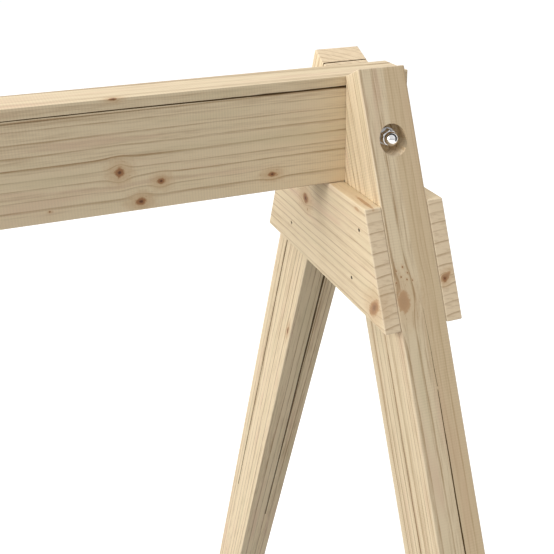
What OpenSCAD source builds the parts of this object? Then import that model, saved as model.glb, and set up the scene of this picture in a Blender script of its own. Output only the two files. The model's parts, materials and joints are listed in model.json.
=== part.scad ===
// Folding sawhorse of planed spruce.
// A beam on edge passes between the tops of two A-shaped leg frames. Each frame is two
// splayed legs, held by a gusset board on either face, and turns about one bolt that runs
// across the beam. Both gussets lie close under the beam: they keep the frame upright, and
// let it swing only outward, past the end of the beam.
// X runs along the beam and Y across it. The origin is on the ground under the middle.

/* [Beam] */
// Length of the beam, end to end
beam_l = 1000; // [700:10:1400]
// Thickness of the beam, and width of each leg along the beam
stock_w = 34; // [30:1:44]
// Height of the beam, which stands on edge
beam_h = 74; // [70:1:95]
// Height of the beam's top face above the ground
work_h = 750; // [600:10:900]
// How far the beam runs on past the outer gusset
beam_tail = 1; // [0:0.5:6]

/* [Legs] */
// Depth of a leg, measured square to its length
leg_d = 55; // [50:1:64]
// Lean of each leg away from upright, in degrees
splay = 24.4; // [22:0.1:26]
// How far a leg's upright face runs below the beam
seat_drop = 9.8; // [8:0.1:12]

/* [Gussets] */
// Thickness of a gusset board
gusset_t = 12; // [9:1:18]
// Height of a gusset board
gusset_h = 75; // [60:1:100]
// Gap between the beam and the gussets under it
gusset_gap = 0.6; // [0.4:0.1:2]

/* [Bolts] */
// Diameter of the bolt's shank
bolt_d = 6; // [5:1:8]
// Length of the bolt under its head
bolt_l = 100; // [98:1:101]
// Height of the bolt above the beam's underside
bolt_rise = 38; // [36:0.5:40]
// Diameter of the counterbores in the legs
counterbore_d = 20; // [18:1:22]
// Distance from the beam's middle to the floor of the nut's counterbore
nut_seat = 44; // [42:0.5:45]
// Distance from the beam's middle to the floor of the head's counterbore
head_seat = 46; // [44:0.5:47]

/* [Nails] */
// Diameter of a nail's shank
nail_d = 1.6; // [1.2:0.1:2.4]
// Length of a nail
nail_l = 28; // [20:1:28]

/* [Hidden] */

// Ends of the beam, and the two sides of it
RIGHT = 1;
LEFT = -1;
FRONT = -1;
REAR = 1;

// Colours
PALE_SPRUCE = [0.80, 0.69, 0.52];
WARM_SPRUCE = [0.84, 0.72, 0.54];
CHROME = [0.82, 0.83, 0.84];
ZINC = [0.68, 0.69, 0.70];
NAIL_STEEL = [0.42, 0.40, 0.38];

// Gap at each side of the beam, so that a frame turns freely
side_gap = 0.15;
// Radial clearance of the bolt in the beam, in a leg and in its washer
beam_clearance = 0.05;
leg_clearance = 0.25;
washer_clearance = 0.2;

// Heights and places of the main faces
beam_bottom = work_h - beam_h;
bolt_z = beam_bottom + bolt_rise;
gusset_top = beam_bottom - gusset_gap;
gusset_bottom = gusset_top - gusset_h;
frame_x = beam_l / 2 - beam_tail - gusset_t - stock_w / 2;

// The beam's lower corners are rounded about the bolt, so that the gussets swing past
nose_clearance = 1;
nose_r = norm([stock_w / 2, bolt_rise + gusset_gap]) - nose_clearance;

// A leg in profile: y is the distance out from the beam's middle
lean = tan(splay);
leg_in_y = stock_w / 2 + side_gap;
leg_run = leg_d / cos(splay);
seat_z = beam_bottom - seat_drop;
function inner_y(z) = leg_in_y + (seat_z - z) * lean;
function outer_y(z) = inner_y(z) + leg_run;
function middle_y(z) = inner_y(z) + leg_run / 2;
// The top is sawn square to the leg, from the beam's top edge out
top_run = (leg_run - (work_h - seat_z) * lean) / (1 + lean * lean);
top_out_y = leg_in_y + top_run;
top_out_z = work_h + top_run * lean;

// Parts of the bolt, its nut and its washer
head_d = 16.5;
head_h = 3.6;
neck_w = bolt_d;
neck_h = 4;
washer_d = 12;
washer_t = 1.6;
nut_w = 10;
nut_hex_h = 5.5;
nut_dome_d = 9.5;
nut_h = 12;
nut_bore_h = 9;
thread_gap = 0.05;

// Two nails hold each leg to each gusset: how far below the gusset's top each one is, and
// how far out from the middle of the leg
NAIL_PLACES = [[17, 15], [56, -13]];
nail_head_d = 2.6;
nail_head_h = 0.8;
// How deep a nail's head is punched below the face of the gusset
nail_set = 0.4;

// Overrun of a cutting tool past the face that it leaves
OVERRUN = 1;
// Facets of a round face
ROUND = 64;

// A board of the given thickness along X, from its outline in Y and Z
module board(thickness, outline) {
    rotate([90, 0, 90])
        linear_extrude(thickness, center = true)
            polygon(outline);
}

// A round bar along Y from one distance to another, with the sign of side
module bar_y(d, from_y, to_y, side = REAR) {
    rotate([-90 * side, 0, 0])
        translate([0, 0, from_y])
            cylinder(d = d, h = to_y - from_y, $fn = ROUND);
}

// Material that is cut away at a lower corner of the beam, below and beyond the nose
module nose_waste(end) {
    translate([end * frame_x, 0, bolt_z])
        difference() {
            translate([end == RIGHT ? 0 : -nose_r * 2, -stock_w, -nose_r * 2])
                cube([nose_r * 2, stock_w * 2, nose_r * 2]);
            bar_y(nose_r * 2, -stock_w * 2, stock_w * 2);
        }
}

module beam() {
    color(PALE_SPRUCE)
        difference() {
            translate([-beam_l / 2, -stock_w / 2, beam_bottom])
                cube([beam_l, stock_w, beam_h]);
            for (end = [LEFT, RIGHT]) {
                nose_waste(end);
                translate([end * frame_x, 0, bolt_z])
                    bar_y(bolt_d + 2 * beam_clearance, -stock_w, stock_w);
            }
        }
}

module leg(end, side) {
    seat = side == FRONT ? nut_seat : head_seat;
    outline = [
        [inner_y(0), 0],
        [outer_y(0), 0],
        [top_out_y, top_out_z],
        [leg_in_y, work_h],
        [leg_in_y, seat_z],
    ];
    color(PALE_SPRUCE)
        translate([end * frame_x, 0, 0])
            difference() {
                board(stock_w, [for (p = outline) [side * p.x, p.y]]);
                translate([0, 0, bolt_z]) {
                    bar_y(bolt_d + 2 * leg_clearance, 0, seat + OVERRUN, side);
                    bar_y(counterbore_d, seat, outer_y(beam_bottom), side);
                }
                if (side == REAR)
                    translate([-neck_w / 2, seat - neck_h, bolt_z - neck_w / 2])
                        cube([neck_w, neck_h + OVERRUN, neck_w]);
            }
}

// Puts its children at each nail of a gusset: +Z is then the way the nail is driven, and the
// origin is on the gusset's outer face. face is RIGHT for the gusset on the +X face of a frame
module at_nails(end, face) {
    translate([end * frame_x + face * (stock_w / 2 + gusset_t), 0, 0])
        for (side = [FRONT, REAR], place = NAIL_PLACES) {
            z = gusset_top - place[0];
            translate([0, side * (middle_y(z) + place[1]), z])
                rotate([0, -90 * face, 0])
                    children();
        }
}

module gusset(end, face) {
    top = outer_y(gusset_top);
    bottom = outer_y(gusset_bottom);
    outline = [
        [-bottom, gusset_bottom],
        [bottom, gusset_bottom],
        [top, gusset_top],
        [-top, gusset_top],
    ];
    color(WARM_SPRUCE)
        difference() {
            translate([end * frame_x + face * (stock_w + gusset_t) / 2, 0, 0])
                board(gusset_t, outline);
            at_nails(end, face)
                translate([0, 0, -OVERRUN])
                    cylinder(d = nail_head_d, h = OVERRUN + nail_set, $fn = ROUND / 2);
        }
}

module nails(end, face) {
    color(NAIL_STEEL)
        at_nails(end, face)
            translate([0, 0, nail_set]) {
                cylinder(d = nail_d, h = nail_l, $fn = ROUND / 2);
                cylinder(d = nail_head_d, h = nail_head_h, $fn = ROUND / 2);
            }
}

// Carriage bolt: round head and square neck in the rear leg, shank forward to the nut
module pivot_bolt(end) {
    // Radius of the ball that the low round head is cut from
    ball_r = (pow(head_d / 2, 2) + pow(head_h, 2)) / (2 * head_h);
    color(ZINC)
        translate([end * frame_x, 0, bolt_z]) {
            bar_y(bolt_d, head_seat - bolt_l, head_seat);
            translate([-neck_w / 2, head_seat - neck_h, -neck_w / 2])
                cube([neck_w, neck_h, neck_w]);
            intersection() {
                translate([0, head_seat + head_h - ball_r, 0])
                    sphere(r = ball_r, $fn = ROUND);
                bar_y(head_d, head_seat, head_seat + head_h + OVERRUN);
            }
        }
}

module nut_washer(end) {
    color(ZINC)
        translate([end * frame_x, 0, bolt_z])
            difference() {
                bar_y(washer_d, nut_seat, nut_seat + washer_t, FRONT);
                bar_y(bolt_d + 2 * washer_clearance, nut_seat - OVERRUN,
                    nut_seat + washer_t + OVERRUN, FRONT);
            }
}

// Hexagon whose far corners are turned off, along +Z from its seat
module chamfered_hexagon() {
    corner_r = nut_w / 2 / cos(30);
    intersection() {
        cylinder(r = corner_r, h = nut_hex_h, $fn = 6);
        cylinder(r1 = corner_r + nut_hex_h, r2 = nut_w / 2, h = nut_hex_h, $fn = ROUND);
    }
}

module cap_nut(end) {
    dome_r = nut_dome_d / 2;
    color(CHROME)
        translate([end * frame_x, -nut_seat - washer_t, bolt_z])
            rotate([90, 0, 0])
                difference() {
                    union() {
                        rotate(30)
                            chamfered_hexagon();
                        cylinder(r = dome_r, h = nut_h - dome_r, $fn = ROUND);
                        translate([0, 0, nut_h - dome_r])
                            sphere(r = dome_r, $fn = ROUND);
                    }
                    translate([0, 0, -OVERRUN])
                        cylinder(d = bolt_d + 2 * thread_gap, h = nut_bore_h + OVERRUN,
                            $fn = ROUND);
                }
}

beam();
leg(RIGHT, FRONT);  // right_front_leg
leg(RIGHT, REAR);  // right_rear_leg
gusset(RIGHT, LEFT);  // right_inner_gusset
gusset(RIGHT, RIGHT);  // right_outer_gusset
nails(RIGHT, LEFT);  // right_inner_nails
nails(RIGHT, RIGHT);  // right_outer_nails
pivot_bolt(RIGHT);  // right_pivot_bolt
nut_washer(RIGHT);  // right_nut_washer
cap_nut(RIGHT);  // right_cap_nut
leg(LEFT, FRONT);  // left_front_leg
leg(LEFT, REAR);  // left_rear_leg
gusset(LEFT, RIGHT);  // left_inner_gusset
gusset(LEFT, LEFT);  // left_outer_gusset
nails(LEFT, RIGHT);  // left_inner_nails
nails(LEFT, LEFT);  // left_outer_nails
pivot_bolt(LEFT);  // left_pivot_bolt
nut_washer(LEFT);  // left_nut_washer
cap_nut(LEFT);  // left_cap_nut
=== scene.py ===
"""Looks of the folding sawhorse: planed spruce with its growth rings, knots and drying
checks, and the bright bolts that the leg frames turn on. Lengths are in metres."""

import json
import math
import random

import bmesh
import bpy
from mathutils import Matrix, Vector


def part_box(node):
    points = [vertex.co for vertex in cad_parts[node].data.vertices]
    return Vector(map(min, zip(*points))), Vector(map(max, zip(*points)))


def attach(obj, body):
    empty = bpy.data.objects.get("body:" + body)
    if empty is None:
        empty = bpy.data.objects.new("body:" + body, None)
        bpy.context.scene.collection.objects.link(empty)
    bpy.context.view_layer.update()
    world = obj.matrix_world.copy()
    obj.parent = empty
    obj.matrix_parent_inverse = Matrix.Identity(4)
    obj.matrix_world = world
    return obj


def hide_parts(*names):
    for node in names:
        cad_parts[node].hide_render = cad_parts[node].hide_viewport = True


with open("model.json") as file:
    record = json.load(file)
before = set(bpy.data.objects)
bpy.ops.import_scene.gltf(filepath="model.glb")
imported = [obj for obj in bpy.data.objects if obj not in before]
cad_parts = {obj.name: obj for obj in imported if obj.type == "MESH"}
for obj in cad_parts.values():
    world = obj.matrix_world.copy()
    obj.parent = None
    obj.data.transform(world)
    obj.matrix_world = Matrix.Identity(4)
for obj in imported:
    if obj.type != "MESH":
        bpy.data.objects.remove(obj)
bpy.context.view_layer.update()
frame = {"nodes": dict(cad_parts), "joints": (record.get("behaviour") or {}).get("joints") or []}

MM = 0.001

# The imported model's own sizes and places
beam_low, beam_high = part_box("beam")
leg_low, leg_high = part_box("right_front_leg")
BOLT = {j["child"]: Vector(j["pos_m"]) for j in frame["joints"]}
BEAM_BOTTOM = beam_low.z
BEAM_SIDE = beam_high.y
FRAME_X = BOLT["right_frame"].x
LEG_HALF = (leg_high.x - leg_low.x) / 2
FOOT_Y = -leg_low.y

# The legs' lean from upright, and their size square to their length
SPLAY = math.radians(24.4)
LEG_DEPTH = 55 * MM

# Which way each end of the beam and each side of a frame lies
ENDS = {"right": 1, "left": -1}
SIDES = {"front": -1, "rear": 1}


def leg_outer_y(z):
    """Distance of a leg's outer face from the beam's middle, at height z."""
    return FOOT_Y - z * math.tan(SPLAY)


def leg_inner_y(z):
    """Distance of a leg's inner face from the beam's middle, at height z."""
    return leg_outer_y(z) - LEG_DEPTH / math.cos(SPLAY)


# ---------------------------------------------------------------- node building


class Tree:
    """Short calls that add nodes and give back their output socket."""

    def __init__(self, tree):
        self.tree = tree

    def node(self, kind, inputs=(), **settings):
        made = self.tree.nodes.new(kind)
        for name, value in settings.items():
            setattr(made, name, value)
        pairs = inputs.items() if isinstance(inputs, dict) else enumerate(inputs)
        for key, value in pairs:
            self.plug(made.inputs[key], value)
        return made

    def plug(self, socket, value):
        if isinstance(value, bpy.types.NodeSocket):
            self.tree.links.new(value, socket)
        elif value is not None:
            socket.default_value = value

    def math(self, operation, *values, clamp=False):
        made = self.node("ShaderNodeMath", values, operation=operation, use_clamp=clamp)
        return made.outputs["Value"]

    def swing(self, value, share, base):
        """Base plus a share of how far a noise is from its middle."""
        return self.math("MULTIPLY_ADD", self.math("SUBTRACT", value, 0.5), share, base)

    def vector(self, operation, *values):
        made = self.node("ShaderNodeVectorMath", values, operation=operation)
        return made.outputs["Value" if operation in ("DOT_PRODUCT", "LENGTH") else "Vector"]

    def scale(self, vector, factor):
        made = self.node("ShaderNodeVectorMath", operation="SCALE")
        self.plug(made.inputs[0], vector)
        self.plug(made.inputs["Scale"], factor)
        return made.outputs["Vector"]

    def noise(self, point, stretch, detail=2.0, roughness=0.5):
        """Noise about 0.5, with this many features a metre along each way of the grain."""
        at = self.vector("MULTIPLY", point, stretch)
        inputs = {"Vector": at, "Scale": 1.0, "Detail": detail, "Roughness": roughness}
        return self.node("ShaderNodeTexNoise", inputs).outputs["Fac"]

    def ramp(self, value, low, high, to_low=0.0, to_high=1.0, smooth=True):
        """From to_low where value is low, to to_high where it is high."""
        inputs = (value, low, high, to_low, to_high)
        kind = "SMOOTHSTEP" if smooth else "LINEAR"
        made = self.node("ShaderNodeMapRange", inputs, interpolation_type=kind)
        return made.outputs["Result"]

    def mix(self, factor, first, second, blend="MIX"):
        made = self.node("ShaderNodeMix", data_type="RGBA", blend_type=blend)
        self.plug(made.inputs["Factor"], factor)
        self.plug(made.inputs["A"], colour(first))
        self.plug(made.inputs["B"], colour(second))
        return made.outputs["Result"]


def colour(value):
    """An opaque colour from red, green and blue. A socket stays as it is."""
    return (*value, 1.0) if isinstance(value, tuple) and len(value) == 3 else value


def blank_material(name):
    """A new material with no nodes, and the Tree that adds them."""
    material = bpy.data.materials.new(name)
    material.use_nodes = True
    material.node_tree.nodes.clear()
    return material, Tree(material.node_tree)


def finish_material(t, base, roughness, relief, strength, distance, fixed):
    """The shader of a material, with its relief as bumps. What is fixed is the same all over."""
    inputs = {"Height": relief, "Strength": strength, "Distance": distance}
    normal = t.node("ShaderNodeBump", inputs).outputs["Normal"]
    inputs = {"Base Color": base, "Roughness": roughness, "Normal": normal, **fixed}
    shader = t.node("ShaderNodeBsdfPrincipled", inputs)
    t.node("ShaderNodeOutputMaterial", {"Surface": shader.outputs["BSDF"]})


def group(name, inputs, outputs):
    """A new node group, its Tree, and by name the sockets that bring values in and out."""
    tree = bpy.data.node_groups.new(name, "ShaderNodeTree")
    for label, kind in inputs.items():
        tree.interface.new_socket(label, in_out="INPUT", socket_type="NodeSocket" + kind)
    for label, kind in outputs.items():
        tree.interface.new_socket(label, in_out="OUTPUT", socket_type="NodeSocket" + kind)
    source = tree.nodes.new("NodeGroupInput")
    sink = tree.nodes.new("NodeGroupOutput")
    return tree, Tree(tree), source.outputs, sink.inputs


# ---------------------------------------------------------------- spruce

# The early and late parts of a growth ring, and the tints that drift over them
EARLY_WOOD = (0.75, 0.615, 0.415)
LATE_WOOD = (0.40, 0.265, 0.14)
PINK_WOOD = (0.68, 0.475, 0.33)
OLIVE_WOOD = (0.64, 0.54, 0.345)
TAN_WOOD = (0.60, 0.44, 0.255)

# A knot from its heart outwards
KNOT_HEART = (0.13, 0.055, 0.028)
KNOT_RIM = (0.37, 0.185, 0.085)
KNOT_PALE = (0.54, 0.34, 0.185)
KNOT_STAIN = (0.56, 0.35, 0.175)

# Sawn ends, the painted shade inside a drying check, and the painted highlight on a rounded arris
END_GRAIN = (0.80, 0.64, 0.44)
CHECK_SHADE_WOOD = (0.18, 0.11, 0.045)
ARRIS_HIGHLIGHT_WOOD = (0.80, 0.68, 0.50)

# The planer's ripples, a growth ring of each kind of timber, and the relief and shine of both
RIPPLE_PITCH = 1.9 * MM
BOARD_RING = 6.3 * MM
LEG_RING = 4.9 * MM
GRAIN_RELIEF = 0.12 * MM
GRAIN_STRENGTH = 0.45
WOOD_SPECULAR = 0.28
NEVER = 1.0


def make_knot_group():
    """A knot: where the grain runs round it, its heart, and the stain about it.

    Point is the place in the grain, in metres, with X along the grain. The knot's axis goes
    through Centre, and it fades past Depth along that axis."""
    inputs = {
        "Point": "Vector",
        "Centre": "Vector",
        "Axis": "Vector",
        "Radius": "Float",
        "Stretch": "Float",
        "Depth": "Float",
        "Show": "Float",
    }
    outputs = {"Point": "Vector", "Heart": "Float", "Stain": "Float", "Rings": "Float"}
    tree, t, source, sink = group("knot", inputs, outputs)
    point, radius = source["Point"], source["Radius"]
    from_centre = t.vector("SUBTRACT", point, source["Centre"])
    along_axis = t.vector("DOT_PRODUCT", from_centre, source["Axis"])
    off_axis = t.vector("SUBTRACT", from_centre, t.scale(source["Axis"], along_axis))
    squeeze = t.node("ShaderNodeCombineXYZ", (t.math("DIVIDE", 1.0, source["Stretch"]), 1.0, 1.0))
    near = t.vector("LENGTH", t.vector("MULTIPLY", off_axis, squeeze.outputs[0]))
    ragged = t.noise(point, (420.0, 420.0, 420.0), detail=3.0)
    even_reach = t.math("DIVIDE", near, radius)
    reach = t.math("MULTIPLY", even_reach, t.ramp(ragged, 0.2, 0.8, 0.7, 1.35, smooth=False))
    depth_share = t.math("DIVIDE", t.math("ABSOLUTE", along_axis), source["Depth"])
    present = t.ramp(depth_share, 1.0, 0.4)
    shown = t.math("MULTIPLY", present, source["Show"])
    heart = t.math("MULTIPLY", t.ramp(reach, 1.13, 0.50), shown)
    stain = t.math("MULTIPLY", t.ramp(reach, 3.6, 0.7), shown)
    rings = t.math("MULTIPLY", t.math("COSINE", t.math("MULTIPLY", reach, 5.5)), -1.0)
    # The rings part round the knot as a stream does round a pile
    parting = t.math("DIVIDE", 3.0, t.math("ADD", 3.0, t.math("POWER", even_reach, 3.0)))
    parting = t.math("MULTIPLY", parting, shown)
    across = t.vector("MULTIPLY", off_axis, (0.0, 1.0, 1.0))
    moved = t.vector("SUBTRACT", point, t.scale(across, parting))
    for label, value in (("Point", moved), ("Heart", heart), ("Stain", stain), ("Rings", rings)):
        t.plug(sink[label], value)
    return tree


def make_ring_group():
    """Growth rings about the pith, which runs along X through the origin of Point."""
    inputs = {"Point": "Vector", "Ring": "Float"}
    outputs = {"Late": "Float", "Early": "Float"}
    tree, t, source, sink = group("growth_rings", inputs, outputs)
    point = source["Point"]
    across = t.vector("MULTIPLY", point, (0.0, 1.0, 1.0))
    radius = t.vector("LENGTH", across)
    sway = t.noise(point, (1.6, 9.0, 9.0))
    shiver = t.noise(point, (14.0, 30.0, 30.0))
    radius = t.swing(sway, 7.0 * MM, radius)
    radius = t.swing(shiver, 0.8 * MM, radius)
    years = t.math("DIVIDE", radius, source["Ring"])
    seasons = t.node("ShaderNodeTexNoise", {"W": years, "Scale": 0.31}, noise_dimensions="1D")
    years = t.math("MULTIPLY_ADD", seasons.outputs["Fac"], 1.7, years)
    season = t.math("FRACT", years)
    summer = t.ramp(season, 0.74, 0.96)
    autumn = t.ramp(season, 1.0, 0.965)
    late = t.math("MULTIPLY", summer, autumn)
    # Each year's late wood is as dark as that year's weather made it
    weather = t.node("ShaderNodeTexWhiteNoise", {"W": t.math("FLOOR", years)},
                     noise_dimensions="1D")
    late = t.math("MULTIPLY", late, t.ramp(weather.outputs["Value"], 0.0, 1.0, 0.45, 1.0))
    t.plug(sink["Late"], late)
    t.plug(sink["Early"], t.ramp(season, 0.0, 0.9, smooth=False))
    return tree


def make_spruce_group(rings):
    """Colour, relief and roughness of planed spruce, from its grain and its knots."""
    inputs = {
        "Grain": "Vector",
        "Point": "Vector",
        "Ring": "Float",
        "Heart": "Float",
        "Stain": "Float",
        "KnotRings": "Float",
        "EndGrain": "Float",
        "ArrisHighlight": "Float",
        "CheckShade": "Float",
        "Contrast": "Float",
        "Tone": "Float",
        "TanFrom": "Float",
    }
    outputs = {"Colour": "Color", "Relief": "Float", "Roughness": "Float"}
    tree, t, source, sink = group("spruce", inputs, outputs)
    grain, point = source["Grain"], source["Point"]
    years = t.node("ShaderNodeGroup", {"Point": point, "Ring": source["Ring"]}, node_tree=rings)
    late, early = years.outputs["Late"], years.outputs["Early"]

    fibre = t.noise(point, (45.0, 850.0, 850.0), detail=3.0, roughness=0.65)
    streak = t.noise(point, (2.5, 240.0, 240.0), detail=4.0, roughness=0.7)
    cloud = t.noise(grain, (7.0, 32.0, 32.0))
    tint = t.noise(t.vector("ADD", grain, (3.1, 1.7, 0.6)), (11.0, 95.0, 95.0))

    darkness = t.swing(streak, 2.4, late)
    darkness = t.swing(fibre, 1.6, darkness)
    darkness = t.math("MULTIPLY", darkness, source["Contrast"])
    darkness = t.math("MULTIPLY_ADD", early, 0.10, darkness)
    darkness = t.swing(cloud, 0.40, darkness)
    wood = t.mix(t.math("MAXIMUM", darkness, 0.0, clamp=True), EARLY_WOOD, LATE_WOOD)
    wood = t.mix(t.ramp(tint, 0.54, 0.76, 0.0, 0.48), wood, PINK_WOOD)
    wood = t.mix(t.ramp(tint, 0.50, 0.28, 0.0, 0.45), wood, OLIVE_WOOD)

    # The tree grew darker wood outside the ring that has the radius TanFrom
    from_pith = t.vector("LENGTH", t.vector("MULTIPLY", point, (0.0, 1.0, 1.0)))
    outside = t.math("SUBTRACT", from_pith, source["TanFrom"])
    outside = t.swing(cloud, 5.0 * MM, outside)
    wood = t.mix(t.ramp(outside, 0.0, 1.5 * MM, 0.0, 0.55), wood, TAN_WOOD)

    # Resin canals: short dark flecks along the grain
    cells = t.vector("MULTIPLY", point, (120.0, 900.0, 900.0))
    fleck_inputs = {"Vector": cells, "Scale": 1.0, "Randomness": 1.0}
    fleck_at = t.node("ShaderNodeTexVoronoi", fleck_inputs).outputs["Distance"]
    fleck_zone = t.math("MULTIPLY_ADD", source["Stain"], 1.5, t.ramp(cloud, 0.5, 0.75))
    flecks = t.math("MULTIPLY", t.ramp(fleck_at, 0.18, 0.08), fleck_zone, clamp=True)
    fleck_share = t.math("MULTIPLY_ADD", source["Stain"], 0.6, 0.3)
    wood = t.mix(t.math("MULTIPLY", flecks, fleck_share), wood, KNOT_RIM)

    # The planer leaves ripples across the grain, stronger in places
    along = t.node("ShaderNodeSeparateXYZ", (grain,)).outputs["X"]
    turn = t.math("MULTIPLY", along, 2 * math.pi / RIPPLE_PITCH)
    turn = t.math("MULTIPLY_ADD", t.noise(grain, (60.0, 30.0, 30.0)), 5.0, turn)
    ripple = t.math("SINE", turn)
    where = t.ramp(t.noise(grain, (9.0, 20.0, 20.0)), 0.35, 0.65, 0.25, 1.0)
    ripple = t.math("MULTIPLY", ripple, where)
    shade = t.math("MULTIPLY", t.math("MULTIPLY_ADD", ripple, -0.034, 1.0), source["Tone"])
    grey = t.node("ShaderNodeCombineColor", (shade, shade, shade)).outputs["Color"]
    wood = t.mix(1.0, wood, grey, "MULTIPLY")

    # End grain keeps the rings, and the saw leaves it speckled and rougher
    sawn = t.noise(grain, (300.0, 700.0, 160.0), detail=3.0)
    cut = t.mix(t.math("MULTIPLY", late, 0.75), END_GRAIN, LATE_WOOD)
    cut = t.mix(t.ramp(sawn, 0.45, 0.8, 0.0, 0.5), cut, LATE_WOOD)
    wood = t.mix(t.math("MULTIPLY", source["EndGrain"], 0.85), wood, cut)

    stained = t.mix(t.math("MULTIPLY", source["Stain"], 0.5), wood, KNOT_STAIN)
    ringed = t.mix(t.ramp(source["KnotRings"], -1.0, 1.0), KNOT_HEART, KNOT_RIM)
    wood = t.mix(t.ramp(source["Heart"], 0.05, 0.5), stained, KNOT_PALE)
    wood = t.mix(t.ramp(source["Heart"], 0.5, 0.95), wood, ringed)
    # Painted shade: the faces inside a drying check are darkened as if shadow lay in the crack
    wood = t.mix(source["CheckShade"], wood, CHECK_SHADE_WOOD)
    # Painted highlight: the rounded arrises are made paler as if they caught the light
    wood = t.mix(t.math("MULTIPLY", source["ArrisHighlight"], 0.30), wood, ARRIS_HIGHLIGHT_WOOD)
    t.plug(sink["Colour"], wood)

    relief = t.math("MULTIPLY", late, 0.55)
    relief = t.math("MULTIPLY_ADD", fibre, 0.50, relief)
    relief = t.math("MULTIPLY_ADD", ripple, 0.22, relief)
    relief = t.math("MULTIPLY_ADD", source["Heart"], 0.60, relief)
    relief = t.math("MULTIPLY_ADD", t.math("MULTIPLY", sawn, source["EndGrain"]), 1.2, relief)
    t.plug(sink["Relief"], relief)
    dull = t.math("MULTIPLY_ADD", streak, 0.22, 0.52)
    dull = t.math("MULTIPLY_ADD", late, -0.10, dull)
    t.plug(sink["Roughness"], t.math("MULTIPLY_ADD", source["EndGrain"], 0.15, dull))
    return tree


knot_group = make_knot_group()
spruce_group = make_spruce_group(make_ring_group())


def spruce(name, knots, ring, contrast, tone, tan_from=NEVER):
    """The material of one timber, with its own knots. Contrast is how strongly its growth rings
    show. No timber reaches as far from its pith as NEVER, which leaves out the tan wood."""
    material, t = blank_material(name)
    grain = t.node("ShaderNodeAttribute", attribute_name="grain").outputs["Vector"]
    # Marks for the painted highlight on arrises, the painted shade in checks, and the sawn ends
    arris_highlight, end_grain, check_shade = (
        t.node("ShaderNodeAttribute", attribute_name=mark).outputs["Fac"]
        for mark in ("arris_highlight", "end_grain", "check_shade")
    )
    point, heart, stain, rings = grain, 0.0, 0.0, 0.0
    for knot in knots:
        made = t.node("ShaderNodeGroup", {"Point": point, **knot}, node_tree=knot_group)
        point = made.outputs["Point"]
        inner = t.math("MULTIPLY", made.outputs["Rings"], made.outputs["Heart"])
        rings = t.math("ADD", rings, inner)
        heart = t.math("MAXIMUM", heart, made.outputs["Heart"])
        stain = t.math("MAXIMUM", stain, made.outputs["Stain"])
    inputs = {
        "Grain": grain,
        "Point": point,
        "Ring": ring,
        "Heart": heart,
        "Stain": stain,
        "KnotRings": rings,
        "EndGrain": end_grain,
        "ArrisHighlight": arris_highlight,
        "CheckShade": check_shade,
        "Contrast": contrast,
        "Tone": tone,
        "TanFrom": tan_from,
    }
    wood = t.node("ShaderNodeGroup", inputs, node_tree=spruce_group).outputs
    relief = wood["Relief"], GRAIN_STRENGTH, GRAIN_RELIEF
    fixed = {"Specular IOR Level": WOOD_SPECULAR}
    finish_material(t, wood["Colour"], wood["Roughness"], *relief, fixed)
    return material


# ---------------------------------------------------------------- timbers

# Round of the planed edges, the shortest edge that is rounded, and how near to a bolt an edge
# belongs to its holes
ARRIS = 0.9 * MM
SHORT_EDGE = 0.4 * MM
HOLE_REACH = 13 * MM

# Points nearer than this are one point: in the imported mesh, and after a cut
JOIN = 0.01 * MM
SEAM = 0.004 * MM

# Faces that meet at less than FLAT are one face, and below SMOOTH they are shaded as one. An
# edge sharper than CREASE is rounded.
FLAT = math.radians(0.5)
CREASE = math.radians(20)
SMOOTH = math.radians(32)

# What a face is, kept as its material index while a timber is made
# Faces of a rounded arris, which get a painted highlight
ARRIS_HIGHLIGHT_FACE = 1
# Faces inside a drying check, which get painted shade
CHECK_SHADE_FACE = 2

# Rings of a drying check's wedge, and how high it stands out of the face that it cuts
CHECK_STEPS = 28
CHECK_LIFT = 0.5 * MM


class Lay:
    """How a timber's grain lies: the pith, and the ways along, out and across from it."""

    def __init__(self, pith, along, out):
        self.pith = Vector(pith)
        self.along = Vector(along).normalized()
        self.out = Vector(out).normalized()
        self.across = self.along.cross(self.out)

    def turn(self, way):
        """A direction or distance, as seen along the grain."""
        way = Vector(way)
        return Vector((way.dot(self.along), way.dot(self.out), way.dot(self.across)))

    def place(self, point):
        """A point's place in the grain, from the pith."""
        return self.turn(Vector(point) - self.pith)

    def knot(self, centre, axis, radius, stretch=1.3, depth=12, show=1.0):
        """A knot's inputs, as make_knot_group explains them. Radius and depth in millimetres."""
        return {
            "Centre": self.place(centre),
            "Axis": self.turn(axis).normalized(),
            "Radius": radius * MM,
            "Stretch": stretch,
            "Depth": depth * MM,
            "Show": show,
        }


def cleaned_mesh(node):
    """The node's mesh with its seams joined and its flat faces whole."""
    mesh = bmesh.new()
    mesh.from_mesh(frame["nodes"][node].data)
    bmesh.ops.remove_doubles(mesh, verts=mesh.verts, dist=JOIN)
    bmesh.ops.dissolve_limit(mesh, angle_limit=FLAT, verts=mesh.verts, edges=mesh.edges)
    return mesh


def near_bolt(edge, bolt):
    """True for an edge of a hole that is drilled about the bolt."""
    return all(math.hypot(v.co.x - bolt.x, v.co.z - bolt.z) < HOLE_REACH for v in edge.verts)


def round_edges(mesh, bolt):
    """Rounds the planed edges, and leaves the edges of the drilled holes sharp."""
    sharp = [e for e in mesh.edges if e.is_manifold and e.calc_face_angle() > CREASE]
    planed = [e for e in sharp if not near_bolt(e, bolt) and e.calc_length() >= SHORT_EDGE]
    done = bmesh.ops.bevel(mesh, geom=planed, offset=ARRIS, segments=3, profile=0.5,
                           affect="EDGES", clamp_overlap=True)
    # The rounded faces are marked for a painted highlight
    for face in done["faces"]:
        face.material_index = ARRIS_HIGHLIGHT_FACE


def check(start, end, inward, start_width, end_width, depth):
    """A drying check: its ends, the way into the wood, and its sizes in millimetres."""
    return start, end, inward, (start_width * MM, end_width * MM), depth * MM


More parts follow.
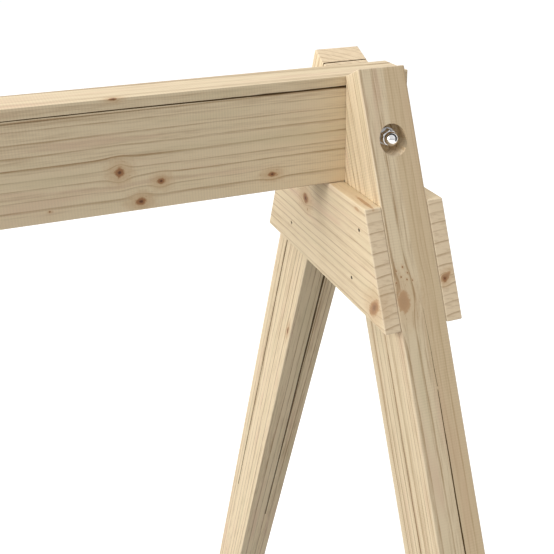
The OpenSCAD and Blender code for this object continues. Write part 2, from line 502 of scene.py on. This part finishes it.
def check_tool(start, end, inward, widths, depth, rng):
    """A thin wedge along a drying check, as a mesh to cut with. It wanders a little, and
    where it is narrow it is shallow."""
    inward = Vector(inward).normalized()
    side = (end - start).cross(inward).normalized()
    mesh = bmesh.new()
    rings = []
    wander = 0.0
    for i in range(CHECK_STEPS + 1):
        share = i / CHECK_STEPS
        wander += rng.uniform(-0.08, 0.08) * MM
        width = widths[0] + (widths[1] - widths[0]) * share
        width *= rng.uniform(0.85, 1.15)
        middle = start.lerp(end, share) + side * wander
        lift = middle - inward * CHECK_LIFT
        low = middle + inward * depth * (0.4 + 0.6 * width / max(widths))
        across = side * width / 2
        rings.append([mesh.verts.new(p) for p in (lift + across, lift - across, low)])
    for a, b in zip(rings, rings[1:]):
        for i in range(3):
            mesh.faces.new((a[i], a[(i + 1) % 3], b[(i + 1) % 3], b[i]))
    mesh.faces.new(rings[0])
    mesh.faces.new(reversed(rings[-1]))
    bmesh.ops.recalc_face_normals(mesh, faces=mesh.faces)
    # The wedge's faces are marked for the painted shade inside the check
    for face in mesh.faces:
        face.material_index = CHECK_SHADE_FACE
    return as_object("check", mesh)


def as_object(name, mesh, materials=(None, None, None)):
    """A new object of this mesh. Three empty slots hold the material index of each face."""
    data = bpy.data.meshes.new(name)
    for material in materials:
        data.materials.append(material)
    mesh.to_mesh(data)
    mesh.free()
    made = bpy.data.objects.new(name, data)
    bpy.context.scene.collection.objects.link(made)
    return made


def cut(piece, tools):
    """Cuts each tool out of the piece, and leaves a plain mesh."""
    for tool in tools:
        modifier = piece.modifiers.new("cut", "BOOLEAN")
        modifier.operation = "DIFFERENCE"
        modifier.solver = "EXACT"
        modifier.object = tool
    bpy.context.view_layer.update()
    graph = bpy.context.evaluated_depsgraph_get()
    data = bpy.data.meshes.new_from_object(piece.evaluated_get(graph), depsgraph=graph)
    piece.modifiers.clear()
    piece.data = data
    for tool in tools:
        bpy.data.objects.remove(tool)
    mesh = bmesh.new()
    mesh.from_mesh(data)
    bmesh.ops.remove_doubles(mesh, verts=mesh.verts, dist=SEAM)
    bmesh.ops.dissolve_degenerate(mesh, edges=mesh.edges, dist=SEAM)
    mesh.to_mesh(data)
    mesh.free()


def write_values(data, name, kind, domain, values):
    """A named attribute with one value for each point or face."""
    made = data.attributes.new(name, kind, domain)
    field = "vector" if kind == "FLOAT_VECTOR" else "value"
    for slot, value in zip(made.data, values):
        setattr(slot, field, value)


def write_grain(piece, lay):
    """Gives each point its place in the grain, and marks the arrises that get a painted
    highlight, the checks that get painted shade, and the sawn ends.
    """
    data = piece.data
    kinds = [face.material_index for face in data.polygons]
    sawn = [float(abs(face.normal.dot(lay.along)) > 0.7) for face in data.polygons]
    places = [lay.place(vertex.co) for vertex in data.vertices]
    write_values(data, "grain", "FLOAT_VECTOR", "POINT", places)
    write_values(data, "arris_highlight", "FLOAT", "FACE", [float(k == ARRIS_HIGHLIGHT_FACE) for k in kinds])
    write_values(data, "check_shade", "FLOAT", "FACE", [float(k == CHECK_SHADE_FACE) for k in kinds])
    write_values(data, "end_grain", "FLOAT", "FACE", sawn)
    for face in data.polygons:
        face.material_index = 0


def timber(node, body, lay, material, checks=(), rng=None):
    """One wooden piece: the node's own shape with rounded edges and cut drying checks."""
    mesh = cleaned_mesh(node)
    far_away = Vector((math.inf, 0, 0))
    round_edges(mesh, BOLT.get(body, far_away))
    piece = as_object(node + "_wood", mesh)
    if checks:
        cut(piece, [check_tool(*made, rng) for made in checks])
    write_grain(piece, lay)
    piece.data.materials.clear()
    piece.data.materials.append(material)
    piece.data.shade_smooth()
    piece.data.set_sharp_from_angle(angle=SMOOTH)
    weighted = piece.modifiers.new("normals", "WEIGHTED_NORMAL")
    weighted.weight = 100
    weighted.keep_sharp = True
    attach(piece, body)
    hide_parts(node)
    return piece


# How strongly the rings show, and how light the wood is, on each kind of timber
CONTRAST = {"beam": 0.74, "leg": 1.05, "gusset": 0.62}
TONE = {"beam": 1.045, "front": 1.01, "rear": 1.19, "gusset": 1.11}


def at_beam(x, z, side=-1):
    """A point on the beam's side in millimetres, from the right bolt and its underside."""
    return Vector((FRAME_X + x * MM, side * BEAM_SIDE, BEAM_BOTTOM + z * MM))


def build_beam(rng):
    """The beam, with its knots and its checks."""
    # The pith runs below the beam and a little to the rear
    pith = (0, 30 * MM, BEAM_BOTTOM - 44 * MM)
    lay = Lay(pith, (1, 0.004, 0.012), (0, 0.12, 1))
    knots = [
        lay.knot(at_beam(-173, 26.8), (0.1, 1, 0.3), 3.7, 1.0),
        lay.knot(at_beam(-147, 17.6), (0, 1, 0.2), 2.5),
        lay.knot(at_beam(-161, 6.0), (0, 1, 0.4), 2.9, 1.4),
        lay.knot(at_beam(-71, 12), (0, 1, 0.1), 2.1, 1.8),
        lay.knot(at_beam(-173, 74), (0, 1, -0.6), 1.2, 2.6, 6),
        lay.knot(at_beam(-218, 7.2), (0, 1, 0), 0.6),
    ]
    from_front, from_rear = (0, 1, 0), (0, -1, 0)
    checks = [
        check(at_beam(12, 66.9), at_beam(-290, 66.6), from_front, 1.7, 0.40, 6),
        check(at_beam(-130, 65.2), at_beam(-320, 64.6), from_front, 0.10, 0.35, 3),
        check(at_beam(-700, 40, 1), at_beam(-330, 41, 1), from_rear, 0.15, 0.7, 4),
    ]
    material = spruce("beam_spruce", knots, BOARD_RING, CONTRAST["beam"], TONE["beam"])
    piece = timber("beam", "beam", lay, material, checks, rng)
    return piece


# A leg's pith lies this far from its middle, in under the beam and, by the slant, to the left
LEG_PITH = 90 * MM
LEG_SLANT = {"front": 1.0, "rear": 0.75}

# How far from its pith a leg's tan wood begins
LEG_TAN_FROM = {"right_front_leg": 110.8 * MM}


def leg_out(way):
    """The way that a leg's outer face looks: way is -1 for a front leg, 1 for a rear leg."""
    return Vector((0, way * math.cos(SPLAY), math.sin(SPLAY)))


def leg_up(way):
    """The way that a leg runs, from its foot to its top."""
    return Vector((0, -way * math.sin(SPLAY), math.cos(SPLAY)))


def on_leg(x, z, way=-1):
    """A point on the outer face of a right leg, in millimetres from the middle of its width
    and from the floor."""
    return Vector((FRAME_X + x * MM, way * leg_outer_y(z * MM), z * MM))


def inside_leg(x, z, way=1):
    """A point on the inner face of a right leg, as on_leg."""
    return Vector((FRAME_X + x * MM, way * leg_inner_y(z * MM), z * MM))


def beside_leg(share, z, way):
    """A point on the side of a right leg that looks along the beam, at a share of its depth
    in from the outer face."""
    outer, inner = leg_outer_y(z * MM), leg_inner_y(z * MM)
    return Vector((FRAME_X - LEG_HALF, way * (outer + (inner - outer) * share), z * MM))


def on_rear_leg_end(x, inset):
    """A point on the right rear leg's sawn top, inset in millimetres from its outer face."""
    corner = Vector((FRAME_X + x * MM, leg_outer_y(leg_high.z), leg_high.z))
    return corner - leg_out(1) * inset * MM


def front_leg_marks(lay):
    """The right front leg's large knot, the pin knots above it, a knot lower down, and its
    checks. Each pin knot has its x, z, radius, stretch and show."""
    pins = [
        (-9.0, 638, 0.6, 1.3, 0.9),
        (-6.5, 634, 0.5, 1.5, 0.9),
        (-11.0, 632, 0.5, 1.3, 0.9),
        (-13.5, 636, 0.5, 1.2, 0.9),
        (-8.0, 630, 0.6, 1.4, 0.9),
        (-14.0, 629, 0.5, 1.3, 0.9),
        (-4.5, 629, 0.5, 1.6, 0.8),
    ]
    knots = [lay.knot(on_leg(-12, 618), (0.1, 1, 0), 5.6, 1.7, 16, 0.60)]
    for x, z, radius, stretch, show in pins:
        knots.append(lay.knot(on_leg(x, z), (0, 1, 0), radius, stretch, 6, show))
    knots.append(lay.knot(on_leg(4, 300), (0.2, 1, 0), 3.0, 1.6))
    inward, sideways = -leg_out(-1), (1, 0, 0)
    checks = [
        check(on_leg(1.0, 612), on_leg(1.9, 564), inward, 0.2, 0.5, 2.5),
        check(on_leg(1.9, 562), on_leg(2.6, 380), inward, 0.6, 1.9, 7),
        check(on_leg(2.6, 380), on_leg(1.0, 90), inward, 1.9, 0.4, 7),
        check(beside_leg(0.50, 575, -1), beside_leg(0.52, 330, -1), sideways, 0.5, 1.6, 5),
        check(beside_leg(0.80, 722, -1), beside_leg(0.62, 682, -1), sideways, 0.15, 0.3, 2),
    ]
    return knots, checks


def rear_leg_marks(lay):
    """The right rear leg's knot, its two long checks, and the one across its sawn top."""
    sideways = (1, 0, 0)
    knots = [lay.knot(beside_leg(0.90, 499, 1), sideways, 1.5, 4.0, 6, 1.0)]
    checks = [
        check(beside_leg(0.285, 600, 1), beside_leg(0.26, 215, 1), sideways, 1.8, 1.5, 7),
        check(inside_leg(2.6, 585), inside_leg(3.4, 190), leg_out(1), 2.1, 1.2, 8),
        check(on_rear_leg_end(-18, 17.2), on_rear_leg_end(18, 17.0), -leg_up(1), 1.3, 1.1, 7),
    ]
    return knots, checks


def chance_leg_marks(lay, end, way, rng):
    """Knots and a drying check on a leg of the other frame, placed by chance."""
    shift = Vector(((ENDS[end] - 1) * FRAME_X, 0, 0))
    knots = []
    for _ in range(3):
        x, z = rng.uniform(-11, 11), rng.uniform(80, 560)
        radius = rng.uniform(1.4, 3.4)
        axis = (rng.uniform(-0.3, 0.3), 1, 0)
        knots.append(lay.knot(on_leg(x, z, way) + shift, axis, radius, 1.7))
    x = rng.uniform(-4, 4)
    top, foot = on_leg(x, 540, way) + shift, on_leg(x + 1, 120, way) + shift
    return knots, [check(top, foot, -leg_out(way), 0.3, 1.2, 6)]


def build_leg(end, side, rng):
    """One leg. The photo shows only the right frame, so the left frame's marks are by chance."""
    node = f"{end}_{side}_leg"
    way = SIDES[side]
    middle_y = way * (leg_outer_y(BEAM_BOTTOM) + leg_inner_y(BEAM_BOTTOM)) / 2
    middle = Vector((ENDS[end] * FRAME_X, middle_y, BEAM_BOTTOM))
    from_pith = (leg_out(way) + Vector((LEG_SLANT[side], 0, 0))).normalized()
    drift = Vector((0.004, 0, 0))
    lay = Lay(middle - from_pith * LEG_PITH, leg_up(way) + drift, from_pith)
    if end == "left":
        knots, checks = chance_leg_marks(lay, end, way, rng)
    elif side == "front":
        knots, checks = front_leg_marks(lay)
    else:
        knots, checks = rear_leg_marks(lay)
    tan_from = LEG_TAN_FROM.get(node, NEVER)
    material = spruce(node + "_spruce", knots, LEG_RING, CONTRAST["leg"], TONE[side], tan_from)
    piece = timber(node, f"{end}_frame", lay, material, checks, rng)
    return piece


# The axes of the gussets' knots: through the board, aslant through it, along it, and aslant
# across its end
THROUGH = (1, 0.1, 0)
OBLIQUE = (1, 1.14, -1.3)
ENDWAYS = (0.35, 1, 0.3)
SLANTED = (1, 0.05, 0.9)
UPRIGHT = (0, 0, 1)

# The knots of each gusset in millimetres: how far out from its inner face, y, z, axis,
# radius, stretch along the grain, depth, and show
GUSSET_KNOTS = {
    "right_inner_gusset": [
        (0, 26.0, 650.0, THROUGH, 4.6, 1.25, 12, 1.0),
        (0, 22.4, 645.0, THROUGH, 1.7, 0.8, 12, 0.6),
        (0, -90.8, 612.6, OBLIQUE, 5.6, 1.0, 16, 0.76),
        (0, -62.0, 672.0, THROUGH, 1.6, 2.6, 5, 0.4),
        (6, -62.0, 676.0, UPRIGHT, 1.8, 9.0, 4, 0.5),
    ],
    "right_outer_gusset": [
        (4.0, -95.0, 626.6, ENDWAYS, 2.1, 1.0, 9, 1.0),
        (6.5, -95.0, 629.2, SLANTED, 1.5, 1.0, 8, 0.72),
        (12, 31.0, 622.0, THROUGH, 2.6, 1.3, 9, 0.9),
    ],
    "left_inner_gusset": [
        (0, -40.0, 633.0, THROUGH, 3.2, 1.2, 14, 1.0),
        (0, 52.0, 655.0, THROUGH, 2.2, 1.4, 9, 0.8),
    ],
    "left_outer_gusset": [
        (12, 12.0, 641.0, THROUGH, 4.0, 1.3, 14, 0.9),
        (12, -70.0, 620.0, THROUGH, 1.8, 1.5, 9, 0.9),
    ],
}


def build_gusset(end, face, rng):
    """One gusset, with its knots."""
    node = f"{end}_{face}_gusset"
    low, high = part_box(node)
    # The pith runs below the board, as far to one side as chance puts it
    pith = (low.x + rng.uniform(-6, 18) * MM, 0, low.z - 60 * MM)
    lay = Lay(pith, (0.006, 1, 0.01), (0.1, 0, 1))
    inner_x = low.x if end == "right" else high.x
    knots = []
    for out, y, z, axis, radius, stretch, depth, show in GUSSET_KNOTS[node]:
        centre = (inner_x + ENDS[end] * out * MM, y * MM, z * MM)
        knots.append(lay.knot(centre, axis, radius, stretch, depth, show))
    material = spruce(node + "_spruce", knots, BOARD_RING, CONTRAST["gusset"], TONE["gusset"])
    piece = timber(node, f"{end}_frame", lay, material)
    return piece


def build_wood():
    """Every timber. The same kind of timber at one end draws the same chances."""
    build_beam(random.Random(1))
    for seed, end in enumerate(ENDS):
        for side in SIDES:
            build_leg(end, side, random.Random(10 + seed))
        for face in ("inner", "outer"):
            build_gusset(end, face, random.Random(20 + seed))


# ---------------------------------------------------------------- metal


ZINC = (0.62, 0.63, 0.64)
CHROME = (0.93, 0.93, 0.94)
NAIL_STEEL = (0.52, 0.47, 0.40)
SCRATCH_DEPTH = 0.02 * MM
SCRATCH_STRENGTH = 0.10

# The bevel that wear leaves, on edges sharper than an angle
WORN_EDGE = 0.25 * MM
WORN_FROM = math.radians(35)


def metal(name, base, roughness, wear):
    """Plated steel: fine scratches, and roughness that varies as handling leaves it."""
    material, t = blank_material(name)
    place = t.node("ShaderNodeTexCoord").outputs["Object"]
    smudge = t.noise(place, (260.0, 260.0, 260.0), detail=3.0)
    scratch = t.noise(place, (900.0, 5200.0, 2600.0))
    worn = tuple(c * 0.7 for c in base)
    tone = t.mix(t.ramp(smudge, 0.35, 0.75, 0.0, wear), base, worn)
    rough = t.math("MULTIPLY_ADD", smudge, wear * 0.3, roughness)
    relief = scratch, SCRATCH_STRENGTH, SCRATCH_DEPTH
    finish_material(t, tone, rough, *relief, {"Metallic": 1.0})
    return material


def wear_edges(node):
    """Small bevels on a turned or forged piece's edges, with the seams that they leave joined."""
    worn = node.modifiers.new("worn_edges", "BEVEL")
    worn.width = WORN_EDGE
    worn.segments = 2
    worn.limit_method = "ANGLE"
    worn.angle_limit = WORN_FROM
    seams = node.modifiers.new("seams", "WELD")
    seams.merge_threshold = SEAM


def dress_metal():
    """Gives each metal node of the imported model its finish."""
    finishes = {
        "cap_nut": metal("nut_chrome", CHROME, 0.03, 0.15),
        "nut_washer": metal("washer_zinc", ZINC, 0.28, 0.5),
        "pivot_bolt": metal("bolt_zinc", ZINC, 0.25, 0.5),
        "inner_nails": metal("nail_wire", NAIL_STEEL, 0.55, 0.6),
        "outer_nails": metal("nail_wire_outer", NAIL_STEEL, 0.55, 0.6),
    }
    for name, node in frame["nodes"].items():
        for ending, material in finishes.items():
            if name.endswith(ending):
                node.data.materials.clear()
                node.data.materials.append(material)
        if name.endswith(("cap_nut", "pivot_bolt")):
            wear_edges(node)


# ---------------------------------------------------------------- stage, lights, camera

# The camera's place, from the right bolt's X and the beam's underside. Its angles are in
# degrees, and its sensor and lens in millimetres.
CAMERA_PLACE = (FRAME_X - 0.27485, -0.5702, BEAM_BOTTOM + 0.21126)
CAMERA_BELOW_LEVEL = 22.91
CAMERA_TURN = -23.543
SENSOR_WIDTH = 36
LENS = 59.6
LENS_SHIFT = (-0.0825, -0.0641)

# The floor's half width, grey and own light, and the backdrop's radius
FLOOR_REACH = 12.0
FLOOR_GREY = 0.93
FLOOR_GLOW = 0.25
BACKDROP_RADIUS = 11.0
MATT_ROUGHNESS = 0.9
WHITE = (1, 1, 1, 1)

# The black card: its grey, its distance from the camera's axis, where it begins and ends along
# that axis from the bolt, and where it begins and ends round it, in degrees
FLAG_GREY = 0.02
FLAG_REACH = 1.6
FLAG_SPAN = (-0.28, 0.75)
FLAG_TURN = (-35, 215)
FLAG_STEPS = 40

# The room's light from above and below, the way to its dark side, and what is left there
SKY_LEVEL = 0.86
GROUND_LEVEL = 0.23
DARK_SIDE = (-0.50, -0.60, 0.62)
DARK_SHARE = 0.86

# Each softbox's place, size and power in watts, and the point that both face
SOFTBOXES = {
    "left_softbox": ((-3.4, -0.35, 1.9), 2.3, 118),
    "top_softbox": ((0.2, 1.5, 3.1), 2.4, 17),
}
LIT_POINT = (0.2, 0, 0.5)


def hide_from(piece, *rays):
    """Makes a piece of the stage invisible to these kinds of light ray."""
    for ray in rays:
        setattr(piece, "visible_" + ray, False)


def matt_material(name, shade):
    """A plain grey for the stage, and its shader."""
    material = bpy.data.materials.new(name)
    material.use_nodes = True
    shader = material.node_tree.nodes["Principled BSDF"]
    shader.inputs["Base Color"].default_value = (shade, shade, shade, 1)
    shader.inputs["Roughness"].default_value = MATT_ROUGHNESS
    return material, shader


def build_floor():
    """A white floor. Its light doesn't reach up to the wood, as on a deep studio cove."""
    material, shader = matt_material("pale_floor", FLOOR_GREY)
    shader.inputs["Emission Color"].default_value = WHITE
    shader.inputs["Emission Strength"].default_value = FLOOR_GLOW
    mesh = bmesh.new()
    bmesh.ops.create_grid(mesh, x_segments=1, y_segments=1, size=FLOOR_REACH)
    floor = as_object("floor", mesh, [material])
    hide_from(floor, "diffuse")


def build_backdrop():
    """A white shell round the room, which only the camera sees."""
    material, t = blank_material("white_backdrop")
    glow = t.node("ShaderNodeEmission", {"Color": WHITE, "Strength": 1.0})
    t.node("ShaderNodeOutputMaterial", {"Surface": glow.outputs["Emission"]})
    mesh = bmesh.new()
    bmesh.ops.create_icosphere(mesh, subdivisions=4, radius=BACKDROP_RADIUS)
    backdrop = as_object("backdrop", mesh, [material])
    hide_from(backdrop, "diffuse", "glossy", "transmission", "volume_scatter", "shadow")


def build_flag():
    """A black card curved round the camera's axis. It shows only in what mirrors it, above all
    the bright nut."""
    middle = BOLT["right_frame"]
    axis = (Vector(CAMERA_PLACE) - middle).normalized()
    right = Vector((0, 0, 1)).cross(axis).normalized()
    up = axis.cross(right)
    mesh = bmesh.new()
    columns = []
    for i in range(FLAG_STEPS + 1):
        turn = math.radians(FLAG_TURN[0] + (FLAG_TURN[1] - FLAG_TURN[0]) * i / FLAG_STEPS)
        out = (right * math.cos(turn) + up * math.sin(turn)) * FLAG_REACH
        columns.append([mesh.verts.new(middle + out + axis * z) for z in FLAG_SPAN])
    for a, b in zip(columns, columns[1:]):
        mesh.faces.new((a[0], b[0], b[1], a[1]))
    material, _ = matt_material("black_card", FLAG_GREY)
    flag = as_object("flag", mesh, [material])
    hide_from(flag, "camera", "diffuse", "transmission", "volume_scatter", "shadow")


def build_studio():
    """A white room that is darker on the viewer's side, as behind a camera."""
    world = bpy.data.worlds.new("studio")
    world.use_nodes = True
    t = Tree(world.node_tree)
    way = t.node("ShaderNodeTexCoord").outputs["Generated"]
    height = t.node("ShaderNodeSeparateXYZ", (way,)).outputs["Z"]
    level = t.ramp(height, -0.5, 0.6, GROUND_LEVEL, SKY_LEVEL)
    toward_dark = t.vector("DOT_PRODUCT", way, DARK_SIDE)
    level = t.math("MULTIPLY", level, t.ramp(toward_dark, 0.98, 0.55, DARK_SHARE, 1.0))
    background = world.node_tree.nodes["Background"]
    t.plug(background.inputs["Color"], WHITE)
    t.plug(background.inputs["Strength"], level)
    bpy.context.scene.world = world


def build_lights():
    """The two softboxes."""
    for name, (place, size, power) in SOFTBOXES.items():
        data = bpy.data.lights.new(name, "AREA")
        data.shape = "SQUARE"
        data.size = size
        data.energy = power
        lamp = bpy.data.objects.new(name, data)
        lamp.location = place
        facing = Vector(LIT_POINT) - Vector(place)
        lamp.rotation_euler = facing.to_track_quat("-Z", "Y").to_euler()
        bpy.context.scene.collection.objects.link(lamp)


def build_camera():
    """The close view of the right end."""
    data = bpy.data.cameras.new("camera")
    data.sensor_width = SENSOR_WIDTH
    data.lens = LENS
    data.shift_x, data.shift_y = LENS_SHIFT
    data.clip_start = 0.01
    camera = bpy.data.objects.new("camera", data)
    camera.location = CAMERA_PLACE
    tilt = math.radians(90 - CAMERA_BELOW_LEVEL)
    camera.rotation_euler = (tilt, 0, math.radians(CAMERA_TURN))
    bpy.context.scene.collection.objects.link(camera)
    bpy.context.scene.camera = camera


# ---------------------------------------------------------------- the scene

bpy.context.scene.view_settings.view_transform = "Standard"
build_camera()
build_wood()
dress_metal()
build_floor()
build_backdrop()
build_flag()
build_studio()
build_lights()
